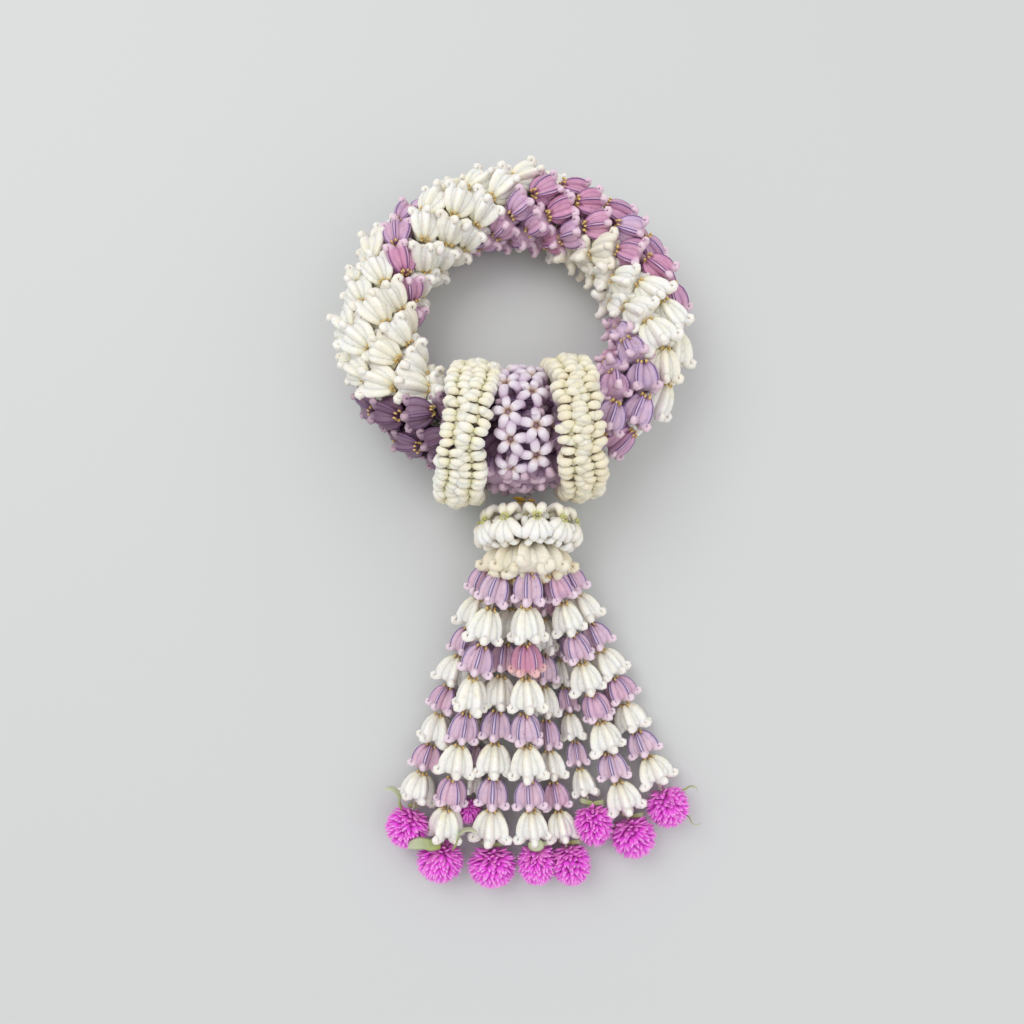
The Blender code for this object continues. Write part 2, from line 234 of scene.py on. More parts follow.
# --- settings ---
class ArmletFlowers(bpy.types.PropertyGroup):
    """How many flowers there are and how they lie"""

    ring_flower: bpy.props.FloatProperty(
        name="Ring flower", description="Size of the ring's flowers against a strand's",
        default=1.0, min=0.6, max=1.4)
    ring_lean: bpy.props.FloatProperty(
        name="Ring lean", description="How far the ring's flowers stand out from the rope",
        default=math.radians(2), subtype="ANGLE")
    collar_flowers: bpy.props.IntProperty(
        name="Collar flowers", description="Flowers in one row of a collar", default=30, min=8)
    sleeve_flowers: bpy.props.IntProperty(
        name="Sleeve flowers", description="Flowers in one row of the sleeve", default=13, min=6)
    head_bracts: bpy.props.IntProperty(
        name="Head bracts", description="Pointed bracts on one globe head", default=300, min=40)
    wander: bpy.props.FloatProperty(
        name="Wander", description="How far flowers stray from their even places",
        default=1.0, min=0.0, max=2.0)


class ArmletColours(bpy.types.PropertyGroup):
    """The main colours"""

    ivory: bpy.props.FloatVectorProperty(
        name="Ivory", description="White crown flower's faces", subtype="COLOR", size=4,
        default=tint(250, 248, 245))
    lavender: bpy.props.FloatVectorProperty(
        name="Lavender", description="Purple crown flower's faces", subtype="COLOR", size=4,
        default=tint(182, 164, 200))
    magenta: bpy.props.FloatVectorProperty(
        name="Magenta", description="Globe head's bracts", subtype="COLOR", size=4,
        default=tint(246, 92, 236))
    floor: bpy.props.FloatVectorProperty(
        name="Floor", description="The plain floor", subtype="COLOR", size=4,
        default=tint(206, 208, 208))


# --- working on objects ---
def deselect():
    """Leave whatever mode is on, with nothing selected."""
    if bpy.context.object and bpy.context.object.mode != "OBJECT":
        bpy.ops.object.mode_set(mode="OBJECT")
    bpy.ops.object.select_all(action="DESELECT")


def choose(objects):
    """Select these objects and nothing else, with the first one active."""
    deselect()
    for obj in objects:
        obj.select_set(True)
    bpy.context.view_layer.objects.active = objects[0]


def join(name, objects):
    """Join copies into one piece with a mesh of its own."""
    choose(objects)
    if len(objects) > 1:
        bpy.ops.object.join()
    piece = bpy.context.object
    piece.name = name
    piece.data.name = name
    return piece


def finish_shape(obj):
    """Close a piece's doubles, turn its faces outwards and smooth it."""
    choose([obj])
    bpy.ops.object.mode_set(mode="EDIT")
    bpy.ops.mesh.select_all(action="SELECT")
    bpy.ops.mesh.remove_doubles(threshold=0.00001)
    bpy.ops.mesh.normals_make_consistent(inside=False)
    bpy.ops.object.mode_set(mode="OBJECT")
    bpy.ops.object.shade_smooth()
    return obj


def paint(obj, finish):
    """Make one finish the only one on an object."""
    obj.data.materials.clear()
    obj.data.materials.append(kit()["finish"][finish])


def give(piece, finish, slot, *nodes):
    """Press up a piece's underside, finish it, let it ride and let it stand for its CAD nodes."""
    for vert in piece.data.vertices:
        if vert.co.z < PRESSED_HEIGHT:
            vert.co.z = PRESSED_HEIGHT * math.exp(vert.co.z / PRESSED_HEIGHT - 1.0)
    paint(piece, finish)
    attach(piece, "root")
    if nodes:
        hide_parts(*nodes)
    return piece


def make_piece(name, copies, finish, slot, *nodes):
    """Join copies into one finished piece."""
    return give(join(name, copies), finish, slot, *nodes)


def fill(obj, attribute, value):
    """Set one attribute to the same value all over a mesh."""
    data = obj.data.attributes.get(attribute)
    if data is None:
        data = obj.data.attributes.new(attribute, "FLOAT", "POINT")
    data.data.foreach_set("value", np.full(len(obj.data.vertices), value, np.float32))


def copy_of(obj, matrix, tone=None):
    """A copy with its own mesh, placed in it."""
    copy = obj.copy()
    copy.data = obj.data.copy()
    copy.data.transform(matrix)
    bpy.context.collection.objects.link(copy)
    if tone is not None:
        fill(copy, "tone", tone)
    return copy


def discard(objects):
    """Delete objects that others were copied from."""
    for obj in objects:
        bpy.data.objects.remove(obj, do_unlink=True)


def stand(base, way, facing, size=1.0, spin=0.0):
    """Where a flower goes: its base, the way it opens and the side its first lobe faces."""
    way = way.normalized()
    side = (facing - facing.project(way)).normalized()
    turn = Matrix((side, way.cross(side), way)).transposed().to_4x4()
    scale = Matrix.Scale(size, 4) if isinstance(size, float) else Matrix.Diagonal((*size, 1.0))
    return Matrix.Translation(base) @ turn @ scale @ Matrix.Rotation(spin, 4, "Z")


def spoke(first, second, angle):
    """The way out at an angle from the first of two square ways towards the second."""
    return first * math.cos(angle) + second * math.sin(angle)


def even_angles(count, shift):
    """Angles in even steps all the way round, all moved on by a share of a step."""
    return [math.tau * (number + shift) / count for number in range(count)]


# --- flowers ---
def mark(obj, along):
    """Write how far along its lobe the ring that has just been drawn out is."""
    bm = bmesh.from_edit_mesh(obj.data)
    layer = bm.verts.layers.float["along"]
    for vert in bm.verts:
        if vert.select:
            vert[layer] = along
    bmesh.update_edit_mesh(obj.data)


def round_off(obj, place, heading, depth, thick):
    """Make the ring that has just been drawn out an ellipse across its lobe."""
    bm = bmesh.from_edit_mesh(obj.data)
    girth = bm.verts.layers.float["girth"]
    keel = Vector((math.cos(heading), 0.0, -math.sin(heading)))
    for vert in bm.verts:
        if vert.select:
            angle = math.pi * vert[girth]
            side = math.copysign(math.sin(angle) * thick, vert.co.y)
            vert.co = place + keel * math.cos(angle) * depth + Vector((0.0, side, 0.0))
    bmesh.update_edit_mesh(obj.data)


def soften(obj, start):
    """Take the edge off a lobe that is being drawn out, from a point along it to its end."""
    bm = bmesh.from_edit_mesh(obj.data)
    layer = bm.verts.layers.float["along"]
    for vert in bm.verts:
        vert.select_set(vert[layer] > start)
    bm.select_flush(True)
    bmesh.update_edit_mesh(obj.data)
    bpy.ops.mesh.vertices_smooth(factor=0.5, repeat=1)


def draw_out(name, stations, sides=8, section=None, curl=None):
    """Draw a fleshy lobe out of a ring of points; from its curl's first station it is round."""
    deselect()
    bpy.ops.mesh.primitive_circle_add(
        vertices=sides, radius=1.0, fill_type="NGON", enter_editmode=True)
    obj = bpy.context.object
    obj.name = name
    bm = bmesh.from_edit_mesh(obj.data)
    bm.verts.layers.float.new("along")
    girth = bm.verts.layers.float.new("girth")
    for vert in bm.verts:
        vert[girth] = abs(math.atan2(vert.co.y, vert.co.x)) / math.pi
        if section:
            deep, wide = section[round(vert[girth] * (len(section) - 1))]
            vert.co.x, vert.co.y = deep, math.copysign(wide, vert.co.y)
    bmesh.update_edit_mesh(obj.data)
    place = Vector((0.0, 0.0, 0.0))
    heading, depth, thick = 0.0, 1.0, 1.0
    for number, (out, along, next_heading, next_depth, next_thick) in enumerate(stations):
        next_place = Vector((out, 0.0, along)) * MM
        if number == 0:
            bpy.ops.transform.translate(value=next_place)
        else:
            bpy.ops.mesh.extrude_region_move(
                TRANSFORM_OT_translate={"value": next_place - place})
        next_depth *= MM
        next_thick *= MM
        grow = next_depth / depth
        bpy.ops.transform.resize(
            value=(grow, next_thick / thick, grow), center_override=next_place)
        bpy.ops.transform.rotate(
            value=-math.radians(next_heading - heading), orient_axis="Y",
            center_override=next_place)
        if number == curl:
            round_off(obj, next_place, math.radians(next_heading), next_depth, next_thick)
        mark(obj, number / (len(stations) - 1))
        place, heading, depth, thick = next_place, next_heading, next_depth, next_thick
    if curl:
        soften(obj, (curl - 0.5) / (len(stations) - 1))
    bpy.ops.object.mode_set(mode="OBJECT")
    return finish_shape(obj)


def turn_out(name, profile, sides, section=None):
    """Draw a straight body out of pairs of how far along it and how wide, in mm."""
    stations = [(0.0, along, 0, wide, wide) for along, wide in profile]
    return draw_out(name, stations, sides, section)


def shorten(obj, share):
    """Let an object's colours run over a share of the way to the curl."""
    for value in obj.data.attributes["along"].data:
        value.value *= share


def make_flower(name, lobe, core, seed, angles=None, splay=5.0, apart=0.0, closer=0.0):
    """Set lobes round a core, each turned and tipped a little in its own way."""
    chance = random.Random(seed)
    angles = angles or [LOBE_ANGLE * number for number in range(5)]
    parts = [copy_of(core, Matrix.Identity(4))]
    for angle in angles:
        tip = Matrix.Rotation(math.radians(chance.uniform(-0.4, 1.0) * splay), 4, "Y")
        twist = Matrix.Rotation(math.radians(chance.uniform(-1.0, 1.0) * splay), 4, "X")
        turn = Matrix.Rotation(math.radians(angle + chance.uniform(-1.0, 1.0) * splay), 4, "Z")
        size = Matrix.Scale(chance.uniform(0.94, 1.05), 4)
        heading = math.radians(angle)
        aside = Matrix.Translation((-math.copysign(closer, math.cos(heading)),
                                    math.copysign(apart, math.sin(heading)), 0.0))
        parts.append(copy_of(lobe, aside @ turn @ tip @ twist @ size))
    flower = join(name, parts)
    fill(flower, "tone", 0.5)
    return flower


def make_kinds(kind, count, seed, lobe, core, *how):
    """A few flowers of one kind, each a little different."""
    return [make_flower(f"{kind}_kind_{number}", lobe, core, seed + number, *how)
            for number in range(count)]


def flower_kinds():
    """Model each lobe and core once, and put them together as the armlet's kinds of flower."""
    white_lobe = draw_out("white_lobe", WHITE_LOBE, 8, WHITE_SECTION, CURL_STATION)
    purple_lobe = draw_out("purple_lobe", PURPLE_LOBE, 8, PURPLE_SECTION, CURL_STATION)
    grain_lobe = draw_out("grain_lobe", GRAIN_LOBE)
    collar_grain = draw_out("collar_grain", GRAIN_LOBE)
    long_grain = draw_out("long_grain", LONG_GRAIN)
    for grain in (collar_grain, long_grain):
        shorten(grain, GRAIN_SHARE)
    white_body = turn_out("white_body", WHITE_BODY, 10, BODY_SECTION)
    purple_body = turn_out("purple_body", PURPLE_BODY, 10, BODY_SECTION)
    for body in (white_body, purple_body):
        for value in body.data.attributes["girth"].data:
            value.value = PANEL_MIDDLE if round(value.value * 5) % 2 else BESIDE_LOBE
        shorten(body, BODY_SHARE)
    star_core = turn_out("star_core", STAR_CORE, 10)
    fill(star_core, "girth", 1.0)
    along = star_core.data.attributes["along"].data
    for vert, value in zip(star_core.data.vertices, along):
        value.value = 0.0 if vert.co.z < STAR_MIDDLE else 0.5
    kinds = {
        "white": make_kinds("white", 4, 0, white_lobe, white_body),
        "purple": make_kinds("purple", 4, 10, purple_lobe, purple_body),
        "star": make_kinds("star", 3, 20, grain_lobe, star_core),
        "collar": make_kinds("collar", 4, 30, collar_grain, star_core,
                             [-7.0, 7.0, 173.0, 187.0], 4.0, 1.6 * MM, 0.9 * MM),
        "drooping": make_kinds("drooping", 3, 50, long_grain, star_core,
                               [-38.0, -13.0, 13.0, 38.0], 4.0),
    }
    for number, flower in enumerate(kinds["drooping"]):
        short = make_flower("short_grains", collar_grain, star_core, 60 + number, [152.0, 208.0],
                            5.0)
        kinds["drooping"][number] = join(f"drooping_kind_{number}", [flower, short])
    discard([white_lobe, purple_lobe, grain_lobe, collar_grain, long_grain, white_body,
             purple_body, star_core])
    return kinds


def seed_cluster():
    """The cluster of tiny golden bits at a flower's base."""
    grain = draw_out("golden_grain", [
        (0.0, -0.7, 14, 0.28, 0.28), (0.2, -0.3, 12, 0.50, 0.46), (0.35, 0.3, 8, 0.46, 0.42),
        (0.4, 0.75, 0, 0.18, 0.18)], sides=5)
    chance = random.Random(5)
    parts = []
    for number in range(9):
        turn = Matrix.Rotation(math.radians(40 * number + chance.uniform(-12, 12)), 4, "Z")
        out = Matrix.Translation((chance.uniform(1.1, 2.0) * MM, 0.0, chance.uniform(-.5, .4) * MM))
        lean = Matrix.Rotation(math.radians(chance.uniform(-30, 10)), 4, "Y")
        parts.append(copy_of(grain, turn @ out @ lean))
    cluster = join("golden_cluster", parts)
    fill(cluster, "tone", 0.5)
    discard([grain])
    return cluster


# --- the rope's line ---
class Rope:
    """The rope's middle line, clockwise from above, from the middle of the sleeve."""

    def __init__(self):
        rise = (ROPE_FRONT_HEIGHT - ROPE_BACK_HEIGHT) / (2.0 * RING_RADIUS)
        self.up = Vector((0.0, rise, 1.0)).normalized()
        self.points = []
        for step in range(ROPE_SAMPLES + 1):
            turn = math.tau * step / ROPE_SAMPLES
            flat = max(0.0, math.cos(turn)) ** RING_FLAT_POWER
            radius = RING_RADIUS * (1.0 - RING_FLATTENING * flat)
            angle = RING_FRONT_ANGLE - turn
            x = radius * math.cos(angle)
            y = radius * math.sin(angle)
            height = ROPE_BACK_HEIGHT + rise * (RING_RADIUS - y)
            self.points.append(RING_CENTRE + Vector((x, y, height)))
        steps = [(b - a).length for a, b in zip(self.points, self.points[1:])]
        self.reach = np.concatenate(([0.0], np.cumsum(steps)))
        self.length = float(self.reach[-1])

    def turn(self, distance):
        """Degrees clockwise from the sleeve's middle."""
        laps = math.floor(distance / self.length)
        share = np.interp(distance - laps * self.length, self.reach, range(len(self.reach)))
        return 360.0 * (laps + share / (len(self.reach) - 1))

    def place(self, distance):
        share = np.interp(distance % self.length, self.reach, range(len(self.reach)))
        step = min(int(share), len(self.points) - 2)
        return self.points[step].lerp(self.points[step + 1], share - step)

    def frame(self, distance):
        """A point on the line, the way ahead, the way to the ring's middle and the way up."""
        ahead = (self.place(distance + MM) - self.place(distance - MM)).normalized()
        inward = ahead.cross(self.up).normalized()
        return self.place(distance), ahead, inward, inward.cross(ahead)


def band_at(turn):
    """The band of colour that lies at a turn from the sleeve."""
    names = [name for name, start in RING_BANDS if turn >= start]
    return names[-1]


# --- materials ---
def set_inputs(node, values):
    """Set a node's inputs by name."""
    for name, value in values.items():
        node.inputs[name].default_value = value


class Tree:
    """A short way to place and link a material's nodes."""

    def __init__(self, tree):
        self.tree = tree
        self.nodes = tree.nodes

    def add(self, kind, label="", **settings):
        node = self.nodes.new(kind)
        node.label = label
        for key, value in settings.items():
            setattr(node, key, value)
        return node

    def link(self, source, target):
        self.tree.links.new(source, target)

    def attribute(self, name):
        """The socket of a mark that shapes carry; its node is placed only once."""
        node = self.nodes.get(name)
        if node is None:
            node = self.add("ShaderNodeAttribute", name, name=name, attribute_name=name)
        return node.outputs["Fac"]

    def ramp(self, source, stops, label=""):
        node = self.add("ShaderNodeValToRGB", label)
        elements = node.color_ramp.elements
        while len(elements) < len(stops):
            elements.new(0.5)
        for element, (place, colour) in zip(elements, stops):
            element.position = place
            element.color = colour if len(colour) == 4 else (*colour, 1.0)
        self.link(source, node.inputs["Fac"])
        return node.outputs["Color"]

    def span(self, source, low, high, to_low=0.0, to_high=1.0):
        """A socket's range from low to high, stretched to another range and held at its ends."""
        node = self.add("ShaderNodeMapRange")
        set_inputs(node, {
            "From Min": low, "From Max": high, "To Min": to_low, "To Max": to_high})
        self.link(source, node.inputs["Value"])
        return node.outputs["Result"]

    def sum(self, operation, first, second):
        """One step of arithmetic on sockets or numbers."""
        node = self.add("ShaderNodeMath", operation=operation)
        for socket, value in zip(node.inputs, (first, second)):
            if isinstance(value, (int, float)):
                socket.default_value = value
            else:
                self.link(value, socket)
        return node.outputs["Value"]

    def times(self, first, second):
        return self.sum("MULTIPLY", first, second)

    def mix(self, share, first, second, label=""):
        """One colour over another, by a share from 0 to 1."""
        node = self.add("ShaderNodeMix", label, data_type="RGBA")
        for socket, value in ((node.inputs[0], share), (node.inputs[6], first),
                              (node.inputs[7], second)):
            if isinstance(value, (int, float, tuple)):
                socket.default_value = value
            else:
                self.link(value, socket)
        return node.outputs[2]

    def noise(self, scale, detail=2.0, rough=0.5):
        place = self.add("ShaderNodeTexCoord").outputs["Object"]
        node = self.add("ShaderNodeTexNoise")
        set_inputs(node, {"Scale": scale, "Detail": detail, "Roughness": rough})
        self.link(place, node.inputs["Vector"])
        return node.outputs["Fac"]


def new_group(name, inputs, outputs):
    """An empty node group with its sockets, and its two end nodes."""
    group = bpy.data.node_groups.new(name, "ShaderNodeTree")
    for label, kind, value in inputs:
        socket = group.interface.new_socket(label, in_out="INPUT", socket_type=kind)
        socket.default_value = value
    for label, kind in outputs:
        group.interface.new_socket(label, in_out="OUTPUT", socket_type=kind)
    tree = Tree(group)
    return tree, tree.add("NodeGroupInput"), tree.add("NodeGroupOutput")


def petal_skin_group():
    """Fine veins, bruises and waxy unevenness that every fleshy petal shares."""
    group = bpy.data.node_groups.get("petal_skin")
    if group:
        return group
    tree, entry, leave = new_group(
        "petal_skin",
        [("Colour", "NodeSocketColor", (0.8, 0.8, 0.8, 1.0)),
         ("Bruise", "NodeSocketColor", (0.5, 0.4, 0.2, 1.0)),
         ("Bruising", "NodeSocketFloat", 0.3),
         ("Vein size", "NodeSocketFloat", 900.0)],
        [("Colour", "NodeSocketColor"), ("Roughness", "NodeSocketFloat"),
         ("Height", "NodeSocketFloat")])
    veins = tree.noise(900.0, 3.0, 0.6)
    tree.link(entry.outputs["Vein size"], veins.node.inputs["Scale"])
    blotches = tree.noise(210.0, 2.0, 0.5)
    spots = tree.noise(620.0, 1.0, 0.5)
    shade = tree.span(veins, 0.3, 0.7, 0.93, 1.04)
    lit = tree.add("ShaderNodeVectorMath", operation="SCALE")
    tree.link(entry.outputs["Colour"], lit.inputs[0])
    tree.link(shade, lit.inputs["Scale"])
    mask = tree.times(tree.span(blotches, 0.52, 0.70), tree.span(spots, 0.50, 0.68))
    mask = tree.times(mask, entry.outputs["Bruising"])
    tree.link(tree.mix(mask, lit.outputs["Vector"], entry.outputs["Bruise"]),
              leave.inputs["Colour"])
    tree.link(tree.span(blotches, 0.3, 0.7, 0.38, 0.56), leave.inputs["Roughness"])
    tree.link(tree.sum("ADD", veins, tree.times(blotches, 1.5)),
              leave.inputs["Height"])
    return tree.tree


class Finish(Tree):
    """A material whose colour is laid on layer by layer."""

    def __init__(self, name, flesh=0.0, sheen=0.0):
        self.material = bpy.data.materials.new(name)
        self.material.use_nodes = True
        super().__init__(self.material.node_tree)
        self.shader = self.nodes["Principled BSDF"]
        set_inputs(self.shader, {
            "Subsurface Weight": flesh, "Subsurface Radius": (1.0, 0.75, 0.5),
            "Subsurface Scale": 0.0016, "Sheen Weight": sheen})
        self.colour = None

    def lay(self, share, colour, label):
        """Lay one more colour over the ones so far."""
        self.colour = self.mix(share, self.colour, colour, label)

    def curl_shade(self, share):
        """Painted shade where a curl closes on itself."""
        inside = self.span(self.attribute("girth"), 0.05, 0.28, share, 0.0)
        return self.times(inside, self.span(self.attribute("along"), 0.60, 0.74))

    def bump(self, height, strength, distance):
        """Raise the surface by a socket's height."""
        ridge = self.add("ShaderNodeBump")
        set_inputs(ridge, {"Strength": strength, "Distance": distance})
        self.link(height, ridge.inputs["Height"])
        self.link(ridge.outputs["Normal"], self.shader.inputs["Normal"])

    def skin(self, bruise, bruising, veins, bump):
        """Lay the shared petal skin over the colour."""
        skin = self.add("ShaderNodeGroup", "petal skin", node_tree=petal_skin_group())
        set_inputs(skin, {"Bruise": bruise, "Bruising": bruising, "Vein size": veins})
        self.link(self.colour, skin.inputs["Colour"])
        self.link(skin.outputs["Colour"], self.shader.inputs["Base Color"])
        self.link(skin.outputs["Roughness"], self.shader.inputs["Roughness"])
        self.bump(skin.outputs["Height"], bump, 0.0004)
        return self.material


def white_petal():
    """Ivory crown flower: yellow-green at its root, cream in its folds, paler on its curls, with
    painted shade on each lobe's sides and inside its curls.
    """
    petal = Finish("white_crown_petal", flesh=0.3)
    along, girth, tone = map(petal.attribute, ("along", "girth", "tone"))
    petal.colour = petal.ramp(along, [
        (0.0, tint(214, 210, 156)), (0.06, tint(236, 233, 202)), (0.18, tint(246, 243, 230)),
        (0.42, tuple(bpy.context.scene.armlet_colours.ivory)), (1.0, tint(248, 244, 238))],
        "root to curl")
    # Painted shade: a lobe's sides are a little darker beside its raised rim.
    petal.lay(petal.span(girth, 0.22, 0.45, 0.0, 0.4), tint(243, 238, 228), "painted side shade")
    fold = petal.times(petal.span(girth, 0.58, 0.84, 0.0, 0.6),
                       petal.span(along, 0.45, 0.60, 1.0, 0.0))
    petal.lay(fold, tint(232, 220, 190), "fold")
    stripe = petal.times(petal.span(petal.noise(260.0, 1.0), 0.50, 0.66),
                         petal.span(along, 0.06, 0.40, 0.5, 0.0))
    petal.lay(stripe, tint(234, 231, 196), "green stripe")
    # Higher tones are creamier, as on aged flowers; on the skirt this cream is painted shade, as
    # the skirt lies in shade under the tassel's collar.
    petal.lay(petal.span(tone, 0.5, 1.6), tint(237, 226, 198), "older flowers and painted shade")
    # Painted shade inside the curls.
    petal.lay(petal.curl_shade(0.8), tint(206, 190, 154), "curl_shade")
    return petal.skin(tint(196, 178, 138), 0.30, 800.0, 0.4)


def purple_petal(name, keel, face, panel, fold, curl, pink_face, pink_panel):
    """Purple crown flower: dark lines down each keel, pink panels, pale curls, a painted highlight
    along each keel's edge, and painted shade inside the curls and on flowers that lie in shade.
    """
    petal = Finish(name, flesh=0.08)
    along, girth, tone = map(petal.attribute, ("along", "girth", "tone"))
    span = petal.span
    pinker = span(tone, 0.2, 1.0)
    edge = petal.mix(pinker, face, pink_face, "edge")
    middle = petal.mix(pinker, panel, pink_panel, "panel")
    petal.colour = petal.mix(span(girth, 0.24, 0.50), edge, middle, "edge to panel")
    crease = petal.times(span(girth, 0.54, 0.78), span(along, 0.40, 0.56, 1.0, 0.0))
    petal.lay(crease, fold, "fold")
    petal.lay(span(petal.noise(240.0, 2.0), 0.42, 0.70, 0.0, 0.45), edge, "streaks")
    petal.lay(span(along, 0.0, 0.14, 0.6, 0.0), fold, "root")
    petal.lay(span(along, 0.44, 0.62), curl, "curl")
    coral = petal.ramp(along, [
        (0.0, tint(160, 84, 116)), (0.4, tint(204, 120, 148)), (0.62, tint(238, 178, 160)),
        (1.0, tint(232, 150, 130))], "coral")
    petal.lay(span(tone, 1.2, 1.5, 0.0, 0.8), coral, "red flower")
    # Painted highlight: a keel's very edge takes the pale curl colour.
    rim = petal.times(span(girth, 0.09, 0.16, 0.5, 0.0), span(along, 0.1, 0.3))
    petal.lay(rim, curl, "painted keel highlight")
    line = petal.ramp(girth, [
        (0.0, (0.0, 0.0, 0.0)), (0.10, (0.05, 0.05, 0.05)), (0.17, (0.9, 0.9, 0.9)),
        (0.26, (0.9, 0.9, 0.9)), (0.34, (0.0, 0.0, 0.0))], "keel line")
    line = petal.times(line, span(along, 0.02, 0.10))
    line = petal.times(line, span(along, 0.52, 0.66, 1.0, 0.35))
    petal.lay(line, keel, "keel")
    # Tones below 0 darken a flower: a little at random on the third band, and as painted shade on
    # the fourth band and on the sleeve's flowers, which lie in shade.
    dark = petal.times(span(tone, -1.1, 0.0, 0.86, 0.0), span(along, 0.44, 0.66, 1.0, 0.6))
    petal.lay(dark, tint(86, 42, 74), "darker tone and painted shade")
    # Painted shade inside the curls, in the keel's colour.
    petal.lay(petal.curl_shade(0.32), keel, "curl_shade")
    return petal.skin(tint(104, 66, 104), 0.35, 700.0, 0.4)


def star_petal():
    """Sleeve flower: pale lilac grains round a tan middle, plum where it goes down."""
    petal = Finish("lilac_star_petal", flesh=0.08)
    petal.colour = petal.ramp(petal.attribute("along"), [
        (0.0, tint(170, 140, 112)), (0.10, tint(218, 200, 198)), (0.28, tint(235, 227, 235)),
        (0.52, tint(214, 196, 214)), (0.72, tint(164, 122, 158)), (1.0, tint(126, 80, 118))],
        "middle to side")
    edge = petal.span(petal.attribute("girth"), 0.30, 0.60, 0.0, 0.5)
    petal.lay(edge, tint(160, 116, 160), "grain's edge")
    return petal.skin(tint(126, 88, 120), 0.4, 800.0, 0.35)


def bract_magenta():
    """Globe head's bract: deep at its root, paler to its papery tip and round the stem."""
    bract = Finish("globe_bract", flesh=0.06, sheen=0.15)
    bract.colour = bract.ramp(bract.attribute("along"), [
        (0.0, tint(146, 22, 128)), (0.28, tint(212, 48, 196)),
        (0.55, tuple(bpy.context.scene.armlet_colours.magenta)), (0.80, tint(249, 118, 238)),
        (1.0, tint(253, 186, 242))], "root to tip")
    paler = bract.span(bract.attribute("tone"), 0.55, 1.1, 0.0, 0.55)
    bract.lay(paler, tint(238, 150, 206), "paler bracts")
    return bract.skin(tint(140, 34, 124), 0.6, 1600.0, 0.35)


def plain_petal(name, stops, bruise, veins=900.0, bump=0.3):
    """A small piece whose colour runs from one end to the other."""
    petal = Finish(name, flesh=0.05)
    petal.colour = petal.ramp(petal.attribute("along"), stops, "end to end")
    return petal.skin(bruise, 0.4, veins, bump)


def cotton_thread():
    """Twisted cotton, pale on its strands and tan between them."""
    cotton = Finish("cotton_thread", sheen=0.3)
    twist = cotton.add("ShaderNodeTexWave", "twist", wave_type="BANDS", bands_direction="DIAGONAL")
    set_inputs(twist, {"Scale": 900.0, "Distortion": 1.5})
    cotton.link(cotton.add("ShaderNodeTexCoord").outputs["Object"], twist.inputs["Vector"])
    strand = twist.outputs["Fac"]
    colour = cotton.ramp(strand, [(0.0, tint(176, 164, 138)), (1.0, tint(236, 230, 214))])
    cotton.link(colour, cotton.shader.inputs["Base Color"])
    cotton.link(cotton.span(strand, 0.0, 1.0, 0.95, 0.8), cotton.shader.inputs["Roughness"])
    cotton.bump(strand, 1.0, 0.0002)
    return cotton.material


def make_materials():
    """Every finish that the armlet's pieces are given."""
    lavender = tuple(bpy.context.scene.armlet_colours.lavender)
    ring = dict(keel=tint(88, 52, 102), face=tint(184, 164, 212), panel=tint(216, 186, 210),
                fold=tint(126, 72, 116), curl=tint(234, 206, 222),
                pink_face=tint(180, 120, 164), pink_panel=tint(216, 154, 184))
    tassel = dict(keel=tint(84, 70, 126), face=lavender, panel=tint(222, 192, 208),
                  fold=tint(150, 106, 144), curl=tint(238, 216, 230),
                  pink_face=tint(188, 152, 190), pink_panel=tint(224, 180, 200))
    return {
        "white": white_petal(),
        "ring_purple": purple_petal("purple_ring_petal", **ring),
        "tassel_purple": purple_petal("purple_tassel_petal", **tassel),
        "star": star_petal(),
        "globe": bract_magenta(),
        "gold": plain_petal("golden_bits", [
            (0.0, tint(196, 160, 92)), (0.6, tint(230, 200, 128)), (1.0, tint(178, 138, 80))],
            tint(150, 110, 60)),
        "green": plain_petal("grey_green_bract", [
            (0.0, tint(164, 172, 100)), (0.4, tint(172, 182, 138)), (1.0, tint(214, 218, 194))],
            tint(118, 132, 104), 500.0, 0.5),
        "lime": plain_petal("lime_flower_middle", [
            (0.0, tint(208, 208, 120)), (0.6, tint(222, 220, 150)), (1.0, tint(186, 184, 100))],
            tint(150, 150, 70), 600.0, 0.4),
        "yellow": plain_petal("yellow_tie_petal", [
            (0.0, tint(214, 196, 132)), (0.4, tint(224, 188, 70)), (1.0, tint(206, 152, 50))],
            tint(168, 120, 50), 600.0, 0.5),
        "thread": cotton_thread(),
    }


KIT = {}


def kit():
    """The flowers and finishes that every piece is made with."""
    if not KIT:
        KIT["rope"] = Rope()
        KIT["kinds"] = flower_kinds()
        KIT["cluster"] = seed_cluster()
        KIT["finish"] = make_materials()
    return KIT


